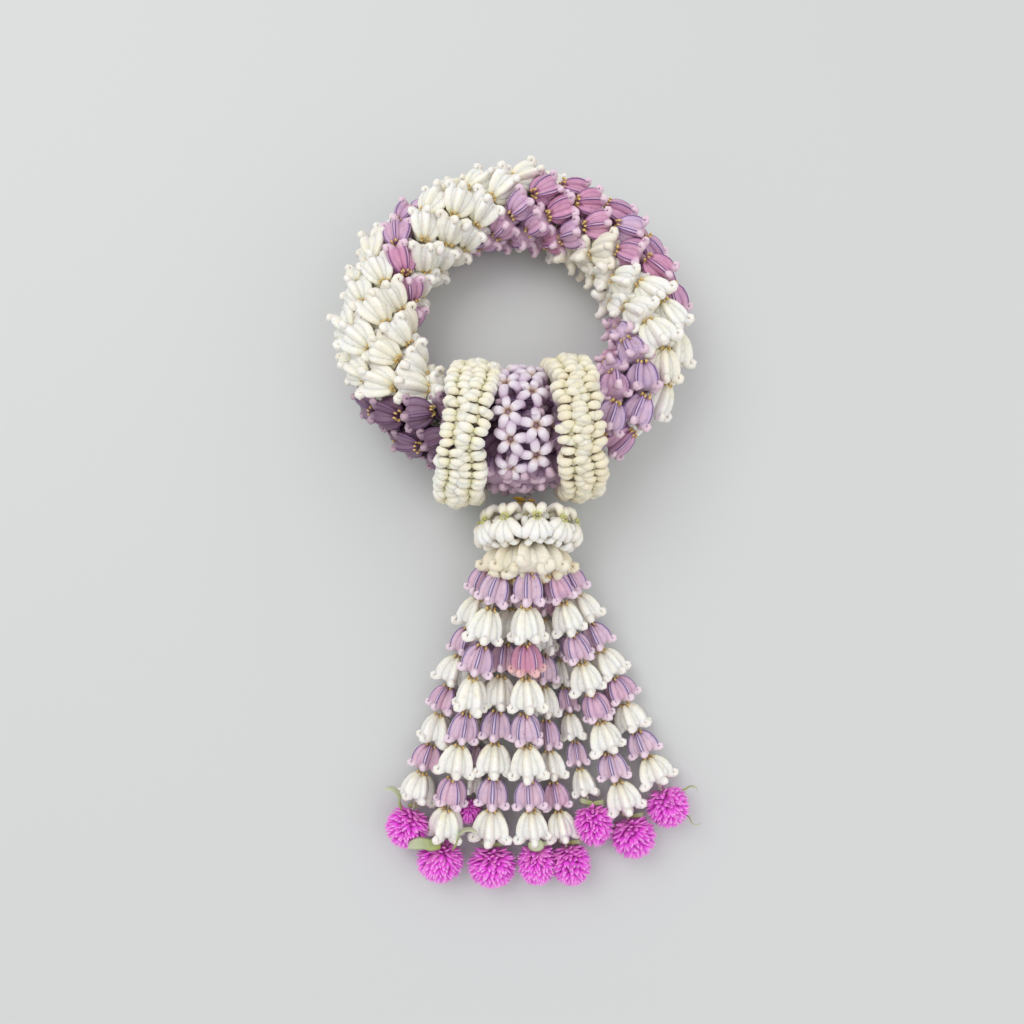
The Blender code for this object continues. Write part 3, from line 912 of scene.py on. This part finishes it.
# --- pieces ---
class ARMLET_OT_ring(bpy.types.Operator):
    """Thread the ring's flowers head to tail in slanting bands of white and purple"""

    bl_idname = "armlet.ring"
    bl_label = "Ring flowers"

    def execute(self, context):
        tools = kit()
        settings = context.scene.armlet_flowers
        rope = tools["rope"]
        pitch = (rope.length - 2.0 * JOIN_HALF) / TIER_COUNT
        start = JOIN_HALF - RIM_LEAD
        extra = round((rope.length - TIER_COUNT * pitch) / pitch)
        chance = random.Random(7)
        bands = {name: [] for name, _ in RING_BANDS}
        clusters = []
        # The tiers carry on under the collars and the sleeve, over the join.
        for tier in range(-extra // 2, TIER_COUNT + extra // 2):
            for flower in range(TIER_FLOWERS):
                distance = start + (tier + 0.1) * pitch
                band, copy, golden = self.thread_flower(
                    tools, settings, chance, distance, distance + pitch,
                    tier * TIER_TWIST + flower * 360.0 / TIER_FLOWERS + 90.0)
                bands[band].append(copy)
                clusters.append(golden)
        nodes = {name: [] for name in bands}
        for tier in range(TIER_COUNT):
            band = band_at(rope.turn(start + (tier + 0.5) * pitch))
            nodes[band].append(f"ring_tier_{tier + 1:02d}")
        nodes["purple_4"].append("ring_join")
        for name, copies in bands.items():
            finish = "white" if name.startswith("white") else "ring_purple"
            slot = "white_flower" if finish == "white" else "purple_flower"
            make_piece(f"ring_flowers_{name}", copies, finish, slot, *nodes[name])
        make_piece("ring_golden_bits", clusters, "gold", "tie")
        paint(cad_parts["ring_thread"], "thread")
        return {"FINISHED"}

    def thread_flower(self, tools, settings, chance, distance, beyond, round_rope):
        """One flower of a tier, which reaches to the next tier; the wrist is at 0 degrees."""
        stray = settings.wander
        rope = tools["rope"]
        round_rope = (round_rope + 90.0) % 360.0 - 90.0
        # A band slants: it starts a quarter of a degree further on for each degree round the rope.
        band = band_at(rope.turn(distance) - (round_rope - 90.0) / 4.0)
        white = band.startswith("white")
        distance += chance.uniform(-0.6, 0.6) * MM * stray
        turn = math.radians(round_rope + chance.uniform(-3.0, 3.0) * stray)
        base, outward = self.place(rope, distance, turn)
        end, _ = self.place(rope, beyond, turn + math.radians(TIER_TWIST))
        way = end - base
        tall = (way.length / RING_FLOWER_LENGTH) ** 0.7
        lean = settings.ring_lean + math.radians(chance.uniform(-4.0, 5.0)) * stray
        way = way.normalized() * math.cos(lean) + outward * math.sin(lean)
        way += Vector([chance.uniform(-0.08, 0.08) for _ in range(3)]) * stray
        size = settings.ring_flower * chance.uniform(0.96, 1.06) * (0.98 if white else 1.0)
        spin = math.radians(chance.uniform(-10.0, 10.0) + HALF_ANGLE * chance.choice((0, 1)))
        kinds = tools["kinds"]["white" if white else "purple"]
        place = stand(base, way, outward, (size, size, (1.02 if white else 1.03) * tall), spin)
        # The first purple band is pinker on the wrist's side.
        low, high = BAND_TONES.get(band, (0.0, 1.0))
        tone = chance.uniform(low, high) + 0.5 * (band == "purple_1" and round_rope < 85.0)
        golden = stand(base + outward * 1.2 * MM, way, outward, 0.9 if white else 1.0, spin)
        return band, copy_of(chance.choice(kinds), place, tone), copy_of(
            tools["cluster"], golden, tone)

    def place(self, rope, distance, turn):
        """Where a flower's base is on the rope, and the way out from the rope there."""
        here, _, inward, top = rope.frame(distance)
        outward = spoke(inward, top, turn)
        return here + outward * RING_FLOWER_OUT, outward


class ARMLET_OT_collars(bpy.types.Operator):
    """Set two rows of end-on flowers round each collar"""

    bl_idname = "armlet.collars"
    bl_label = "Collars"

    def execute(self, context):
        tools = kit()
        for name, (side, nearer, lean, spread) in COLLARS.items():
            centre, _, _, _ = tools["rope"].frame(side * (COLLAR_OFFSET - nearer * MM))
            across = RING_FRONT_ANGLE - side * (COLLAR_LEAN + math.radians(lean))
            axis = Vector((-math.sin(across), math.cos(across), 0.0))
            # A collar's solid has flat sides and lies on one of them.
            centre.z = COLLAR_RADIUS * math.cos(math.pi / COLLAR_SIDES) - 0.4 * MM
            copies = self.rows(tools, context.scene.armlet_flowers, centre, axis, side, spread)
            make_piece(f"{name}_flowers", copies, "white", "white_flower", name)
        return {"FINISHED"}

    def rows(self, tools, settings, centre, axis, side, spread):
        """A collar's two rows, their flowers' bases outward; the right collar is more yellow."""
        chance = random.Random(40 + side)
        front = axis.cross(UP)
        copies = []
        for row in (-1.0, 1.0):
            for angle in even_angles(settings.collar_flowers, 0.25 * row):
                angle += chance.uniform(-0.035, 0.035) * settings.wander
                outward = spoke(front, UP, angle)
                rise = COLLAR_RADIUS - chance.uniform(0.4, 2.0) * MM
                aside = (row * spread + chance.uniform(-1.2, 1.2)) * MM
                face = centre + outward * rise + axis * aside
                way = -outward + axis * (row * -0.20 + chance.uniform(-0.1, 0.1))
                size = (chance.uniform(0.90, 1.00), chance.uniform(0.84, 0.94), 1.0)
                place = stand(face, way, axis, size, math.radians(chance.uniform(-15, 15)))
                copies.append(copy_of(chance.choice(tools["kinds"]["collar"]), place,
                                      chance.uniform(0.6, 1.1) + 0.4 * (side < 0.0)))
        return copies


class ARMLET_OT_sleeve(bpy.types.Operator):
    """Set two rows of lilac stars round the sleeve, and purple flowers out of its outer side"""

    bl_idname = "armlet.sleeve"
    bl_label = "Sleeve"

    def execute(self, context):
        tools = kit()
        settings = context.scene.armlet_flowers
        chance = random.Random(51)
        here, ahead, inward, top = tools["rope"].frame(0.0)
        copies = []
        for row in (-1.0, 1.0):
            for angle in even_angles(settings.sleeve_flowers, 0.25 * row):
                angle += chance.uniform(-0.05, 0.05) * settings.wander
                if SLEEVE_GAP[0] < math.degrees(angle) % 360.0 < SLEEVE_GAP[1]:
                    continue
                outward = spoke(inward, top, angle)
                face = here + outward * (SLEEVE_RADIUS - chance.uniform(0.0, 1.0) * MM)
                face += ahead * (row * 4.9 + chance.uniform(-0.4, 0.4)) * MM
                way = -outward - ahead * row * 0.18
                place = stand(face, way, ahead, chance.uniform(0.98, 1.06),
                              chance.uniform(0.0, math.tau))
                copies.append(copy_of(chance.choice(tools["kinds"]["star"]), place,
                                      chance.random()))
        make_piece("sleeve_flowers", copies, "star", "lilac_flower", "sleeve")
        curls = []
        clusters = []
        for degrees, sideways, spin in SLEEVE_CURLED:
            outward = spoke(inward, top, math.radians(degrees))
            base = here + outward * 12.0 * MM - ahead * sideways * MM
            way = outward - top * 0.25 + inward * -0.2 - ahead * sideways * 0.02
            place = stand(base, way, top, 1.16, math.radians(spin))
            # The low tones of these flowers are painted shade: they sit on the sleeve's shaded
            # outer side.
            curls.append(copy_of(chance.choice(tools["kinds"]["purple"]), place,
                                 chance.uniform(-0.9, -0.3)))
            clusters.append(copy_of(tools["cluster"], place, 0.5))
        for degrees in SLEEVE_HIDDEN:
            outward = spoke(inward, top, math.radians(degrees))
            for side in (-1.0, 1.0):
                base = here + outward * 15.6 * MM - ahead * side * chance.uniform(1.0, 2.5) * MM
                place = stand(base, ahead * side + outward * 0.05 - inward * 0.15, outward, 0.98,
                              math.radians(HALF_ANGLE))
                # Their low tones are painted shade in the gaps under the stars.
                curls.append(copy_of(chance.choice(tools["kinds"]["purple"]), place,
                                     chance.uniform(-0.9, -0.6)))
        make_piece("sleeve_curled_flowers", curls, "ring_purple", "purple_flower")
        make_piece("sleeve_golden_bits", clusters, "gold", "tie")
        return {"FINISHED"}


class ARMLET_OT_tassel_top(bpy.types.Operator):
    """Make the tie with its yellow petals, the tassel's collar and the skirt"""

    bl_idname = "armlet.tassel_top"
    bl_label = "Tassel top"

    def execute(self, context):
        tools = kit()
        self.collar(tools)
        self.skirt(tools)
        self.tie()
        return {"FINISHED"}

    def collar(self, tools):
        """Flowers set round the tassel's top, bases outward, with long grains hanging down."""
        chance = random.Random(61)
        middle = Vector((TASSEL_TOP.x, TASSEL_COLLAR_Y, TASSEL_TOP.z))
        copies = []
        middles = []
        for kind, count, shift, radius, drop, tilt, size in TASSEL_ROWS:
            for angle in even_angles(count, shift):
                outward = spoke(RIGHT, UP, angle)
                way = -outward + DOWN * (tilt + chance.uniform(-0.1, 0.1))
                rise = (radius + chance.uniform(-0.7, 0.5)) * MM
                face = middle + outward * rise + DOWN * drop * MM
                place = stand(face, way, DOWN if kind == "drooping" else outward,
                              chance.uniform(0.94, 1.06) * size, chance.uniform(-0.3, 0.3))
                copies.append(copy_of(chance.choice(tools["kinds"][kind]), place,
                                      chance.random()))
                if kind == "drooping":
                    middles.append(copy_of(tools["cluster"], stand(
                        face + outward * 0.4 * MM, way, DOWN, 0.72), chance.random()))
        make_piece("tassel_collar_middles", middles, "lime", "white_flower")
        make_piece("tassel_collar_flowers", copies, "white", "white_flower", "tassel_collar")

    def skirt(self, tools):
        """White flowers that open downwards under the tassel's collar."""
        chance = random.Random(62)
        middle = Vector((TASSEL_TOP.x, SKIRT_START_Y - 0.6 * MM, TASSEL_TOP.z))
        copies = []
        clusters = []
        for number, angle in enumerate(even_angles(SKIRT_FLOWERS, 0.0)):
            outward = spoke(RIGHT, UP, angle)
            way = DOWN + outward * 0.42
            place = stand(middle + outward * 6.0 * MM, way, outward,
                          (chance.uniform(1.1, 1.25), chance.uniform(1.1, 1.25), 1.14),
                          chance.uniform(-0.3, 0.3) + math.radians(HALF_ANGLE) * (number == 2))
            # Their high tones give a creamier colour that is painted shade: the skirt lies in shade
            # under the collar.
            copies.append(copy_of(chance.choice(tools["kinds"]["white"]), place,
                                  chance.uniform(1.0, 1.5)))
            clusters.append(copy_of(tools["cluster"], stand(
                middle + outward * 9.0 * MM + DOWN * 13.2 * MM, way, outward, 1.2), 0.5))
        make_piece("skirt_flowers", copies, "white", "white_flower", "skirt")
        make_piece("skirt_golden_bits", clusters, "gold", "tie")

    def tie(self):
        """The knot between ring and tassel, in torn yellow petals."""
        core = turn_out("tie_core", [
            (0.0, 1.6), (1.6, 2.8), (9.0, 3.2), (18.0, 3.6), (27.0, 3.2)], 14)
        petal = draw_out("tie_petal", [
            (0.0, 0.0, 10, 0.35, 0.8), (0.3, 1.6, 6, 0.45, 1.5), (0.5, 3.2, 12, 0.34, 1.6),
            (1.1, 4.8, 34, 0.16, 0.7)])
        chance = random.Random(63)
        bound = copy_of(core, stand(TASSEL_TOP, DOWN, UP), 0.5)
        petals = []
        for angle in even_angles(7, 0.3):
            outward = spoke(RIGHT, UP, angle + chance.uniform(-0.25, 0.25))
            way = -DOWN * chance.uniform(0.0, 0.5) + outward
            base = TASSEL_TOP + outward * 2.2 * MM + DOWN * chance.uniform(1.6, 3.6) * MM
            petals.append(copy_of(petal, stand(base, way, outward, chance.uniform(1.0, 1.3)),
                                  chance.random()))
        discard([core, petal])
        make_piece("tassel_tie_thread", [bound], "thread", "thread", "tassel_tie")
        make_piece("tassel_tie_petals", petals, "yellow", "tie", "tassel_tie")


class ARMLET_OT_strands(bpy.types.Operator):
    """Thread the nine strands of eight flowers"""

    bl_idname = "armlet.strands"
    bl_label = "Strands"

    def execute(self, context):
        tools = kit()
        clusters = []
        threads = []
        for number, (name, row) in enumerate(STRANDS.items()):
            chance = random.Random(70 + number)
            first, middle, head = (Vector(point) * MM for point in row[:3])
            length = (middle - first).length + (head - middle).length
            pitch = (length - min(HEAD_RADIUS, head.z)) / STRAND_FLOWERS / length
            longer = 0.04 * pitch
            colours = {"purple": [], "white": []}
            for flower in range(STRAND_FLOWERS):
                white = flower % 2
                share = flower * pitch - longer * white
                base = curve_point(first, middle, head, share)
                beyond = curve_point(first, middle, head, share + pitch + longer * (2 * white - 1))
                way = beyond - base
                stray = Vector([chance.uniform(-1, 1) for _ in range(3)]) * 0.05
                colour = "white" if white else "purple"
                width = row[4] * (0.94 if white else 0.97)
                tall = way.length / FLOWER_LENGTH[colour]
                size = (width * chance.uniform(0.95, 1.04), width * chance.uniform(0.95, 1.04),
                        tall)
                spin = math.radians(
                    chance.uniform(-14, 14) + HALF_ANGLE * chance.choice((0, 0, 1)))
                place = stand(base, way.normalized() + stray, UP, size, spin)
                tone = chance.uniform(-0.1, 0.55) if white else chance.uniform(0.0, 0.9)
                if (name, flower) == RED_FLOWER:
                    tone = RED_TONE
                colours[colour].append(
                    copy_of(chance.choice(tools["kinds"][colour]), place, tone))
                clusters.append(copy_of(tools["cluster"], place, tone))
            for colour, finish in (("white", "white"), ("purple", "tassel_purple")):
                make_piece(f"{name}_{colour}_flowers", colours[colour], finish,
                           f"{colour}_flower", name)
            threads.append(strand_thread(first, middle, head))
        make_piece("strand_golden_bits", clusters, "gold", "tie")
        make_piece("strand_threads", threads, "thread", "thread")
        return {"FINISHED"}


def curve_point(first, middle, head, share):
    """A point on the smooth line from a strand's first flower through its middle to its head."""
    start = (1 - share) * (1 - 2 * share)
    return first * start + middle * 4 * share * (1 - share) + head * share * (2 * share - 1)


def strand_thread(first, middle, head):
    """The cotton thread that a strand's flowers are on."""
    outward = Vector((first.x - TASSEL_TOP.x, 0.0, first.z - TASSEL_TOP.z)).normalized()
    start = Vector((TASSEL_TOP.x, TIE_END_Y + 4.0 * MM, TASSEL_TOP.z)) + outward * 3.0 * MM
    points = [start] + [curve_point(first, middle, head, share / 16) for share in range(16)]
    curve = bpy.data.curves.new("strand_thread", "CURVE")
    curve.dimensions = "3D"
    curve.bevel_depth = 0.5 * MM
    curve.bevel_resolution = 2
    curve.use_fill_caps = True
    spline = curve.splines.new("POLY")
    spline.points.add(len(points) - 1)
    for point, place in zip(spline.points, points):
        point.co = (*place, 1.0)
    obj = bpy.data.objects.new("strand_thread", curve)
    bpy.context.collection.objects.link(obj)
    choose([obj])
    bpy.ops.object.convert(target="MESH")
    return bpy.context.object


class ARMLET_OT_heads(bpy.types.Operator):
    """Cover the globe heads with pointed bracts and set green leaves under them"""

    bl_idname = "armlet.heads"
    bl_label = "Globe heads"

    def execute(self, context):
        count = context.scene.armlet_flowers.head_bracts
        bract = draw_out("bract", [
            (0.0, 0.0, 0, 0.32, 0.65), (0.1, 1.6, 4, 0.42, 1.00), (0.3, 3.1, 12, 0.32, 0.86),
            (0.75, 4.6, 24, 0.07, 0.14)], sides=6)
        leaf = draw_out("leaf", [
            (0.0, 0.0, 6, 0.30, 1.0), (0.4, 1.8, 14, 0.38, 1.7), (0.5, 3.6, -10, 0.34, 2.0),
            (0.1, 5.3, -8, 0.32, 1.8), (0.5, 7.0, 24, 0.32, 2.1), (1.6, 8.5, 46, 0.30, 1.8),
            (3.3, 9.4, 74, 0.26, 1.4), (4.9, 9.3, 108, 0.20, 0.9), (6.0, 8.5, 140, 0.08, 0.25)],
            section=[(1.0, 0.0), (0.9, 0.7), (-0.2, 1.0), (-1.0, 0.6), (-0.4, 0.0)])
        calyx = draw_out("calyx", [
            (0.0, 0.0, 0, 1.4, 1.4), (0.0, 0.7, 0, 3.0, 2.6), (0.0, 1.9, 0, 3.3, 2.8),
            (0.0, 3.0, 0, 2.5, 2.1), (0.0, 3.2, 0, 1.2, 1.0), (0.0, 2.7, 0, 0.5, 0.4)], sides=10)
        for number, (strand, row) in enumerate(STRANDS.items()):
            name = strand.replace("strand", "head")
            self.head(name, row, number, bract, count)
            self.leaves(name, row, number, leaf, calyx)
        discard([bract, leaf, calyx])
        return {"FINISHED"}

    def head(self, name, row, number, bract, count):
        """Bracts in a spiral over a globe, each leaning to the end away from the strand."""
        chance = random.Random(90 + number)
        _, middle, centre = (Vector(point) * MM for point in row[:3])
        radius = min(HEAD_REACH, centre.z)
        along = (centre - middle).normalized()
        side = UP.cross(along).normalized()
        flat = row[3] * MM / radius
        share = radius / HEAD_RADIUS
        deselect()
        bpy.ops.mesh.primitive_ico_sphere_add(subdivisions=2, radius=radius - 2.6 * MM)
        core = finish_shape(bpy.context.object)
        fill(core, "along", 0.1)
        parts = [copy_of(core, Matrix.Identity(4), 0.5)]
        discard([core])
        for step in range(count):
            height = 1.0 - 2.0 * (step + 0.5) / count
            turn = step * GOLDEN_ANGLE + chance.uniform(-0.12, 0.12)
            reach = math.sqrt(1.0 - height * height)
            normal = Vector((reach * math.cos(turn), reach * math.sin(turn), height))
            swept = Vector((-height * math.cos(turn), -height * math.sin(turn), reach))
            bend = math.radians(44.0 - 28.0 * height + chance.uniform(-20.0, 20.0))
            way = normal * math.cos(bend) + swept * math.sin(bend)
            size = chance.uniform(0.86, 1.08) * share
            rise = radius - (2.7 + 2.1 * math.cos(bend)) * size * MM
            place = stand(normal * rise, way, normal, size, chance.uniform(-0.7, 0.7))
            tone = chance.random() * 0.8 + max(0.0, -height - 0.45)
            parts.append(copy_of(bract, place, tone))
        head = join(f"{name}_bracts", parts)
        turn = Matrix((side, along.cross(side), along)).transposed().to_4x4()
        squeeze = Matrix.Diagonal((flat, 1.0, 1.0, 1.0))
        head.data.transform(Matrix.Translation(centre) @ turn @ squeeze)
        give(head, "globe", "globe_head", name)

    def leaves(self, name, row, number, leaf, calyx):
        """The leaves round a head, and on one head a green calyx that shows from the front."""
        chance = random.Random(110 + number)
        centre = Vector(row[2]) * MM
        parts = []
        for way, facing, size, start in HEAD_LEAVES.get(name, PLAIN_LEAVES):
            place = stand(centre + Vector(start) * MM, Vector(way), Vector(facing),
                          size * chance.uniform(0.95, 1.05))
            parts.append(copy_of(leaf, place, chance.random()))
        make_piece(f"{name}_leaves", parts, "green", "globe_head")
        if name == "head_5":
            bud = stand(centre + Vector((-0.4, 7.0, 3.8)) * MM, Vector((0.0, 0.1, 1.0)),
                        RIGHT, (0.95, 0.8, 0.9))
            make_piece("head_5_calyx", [copy_of(calyx, bud, 0.5)], "green", "globe_head")


class ARMLET_OT_stage(bpy.types.Operator):
    """Lay the floor, hang the lights and set the camera"""

    bl_idname = "armlet.stage"
    bl_label = "Stage"

    def execute(self, context):
        scene = context.scene
        deselect()
        bpy.ops.mesh.primitive_plane_add(size=6.0, location=(0.0, 0.0, 0.0))
        floor = bpy.context.object
        floor.name = "floor"
        material = bpy.data.materials.new("plain_floor")
        material.use_nodes = True
        shader = material.node_tree.nodes["Principled BSDF"]
        set_inputs(shader, {"Base Color": scene.armlet_colours.floor, "Roughness": 0.9})
        floor.data.materials.append(material)
        for name, (place, size, power) in LIGHTS.items():
            light = bpy.data.lights.new(name, "AREA")
            light.size = size
            light.energy = power
            self.aim(bpy.data.objects.new(name, light), Vector(place))
        world = bpy.data.worlds.new("soft_surround")
        world.use_nodes = True
        set_inputs(world.node_tree.nodes["Background"],
                   {"Color": (1.0, 1.0, 1.0, 1.0), "Strength": 0.78})
        scene.world = world
        scene.view_settings.view_transform = "Standard"
        lens = bpy.data.cameras.new("camera")
        lens.sensor_width = 36.0
        lens.lens = LENS_LENGTH
        lens.clip_start = 0.01
        camera = bpy.data.objects.new("camera", lens)
        self.aim(camera, CAMERA_PLACE)
        scene.camera = camera
        return {"FINISHED"}

    def aim(self, obj, place):
        """Put a light or the camera in its place, turned to the armlet."""
        obj.location = place
        obj.rotation_euler = (VIEW_TARGET - place).to_track_quat("-Z", "Y").to_euler()
        bpy.context.scene.collection.objects.link(obj)


class ARMLET_OT_tidy(bpy.types.Operator):
    """Put away the flowers that the pieces were copied from"""

    bl_idname = "armlet.tidy"
    bl_label = "Put away"

    def execute(self, context):
        tools = kit()
        discard([flower for kinds in tools["kinds"].values() for flower in kinds])
        discard([tools["cluster"]])
        KIT.clear()
        return {"FINISHED"}


STEPS = (ARMLET_OT_ring, ARMLET_OT_collars, ARMLET_OT_sleeve, ARMLET_OT_tassel_top,
         ARMLET_OT_strands, ARMLET_OT_heads, ARMLET_OT_tidy, ARMLET_OT_stage)


class ARMLET_PT_panel(bpy.types.Panel):
    """The armlet's settings and the steps that make it"""

    bl_label = "Floral Armlet"
    bl_space_type = "VIEW_3D"
    bl_region_type = "UI"
    bl_category = "Armlet"

    def draw(self, context):
        for group in (context.scene.armlet_flowers, context.scene.armlet_colours):
            for name in group.__annotations__:
                self.layout.prop(group, name)
        for step in STEPS:
            self.layout.operator(step.bl_idname)


CLASSES = (ArmletFlowers, ArmletColours) + STEPS + (ARMLET_PT_panel,)


def register():
    for cls in CLASSES:
        bpy.utils.register_class(cls)
    bpy.types.Scene.armlet_flowers = bpy.props.PointerProperty(type=ArmletFlowers)
    bpy.types.Scene.armlet_colours = bpy.props.PointerProperty(type=ArmletColours)


def unregister():
    del bpy.types.Scene.armlet_colours
    del bpy.types.Scene.armlet_flowers
    for cls in reversed(CLASSES):
        bpy.utils.unregister_class(cls)


def main():
    """Make the whole armlet, step by step."""
    register()
    for step in STEPS:
        family, name = step.bl_idname.split(".")
        getattr(getattr(bpy.ops, family), name)()


if __name__ == "__main__":
    main()
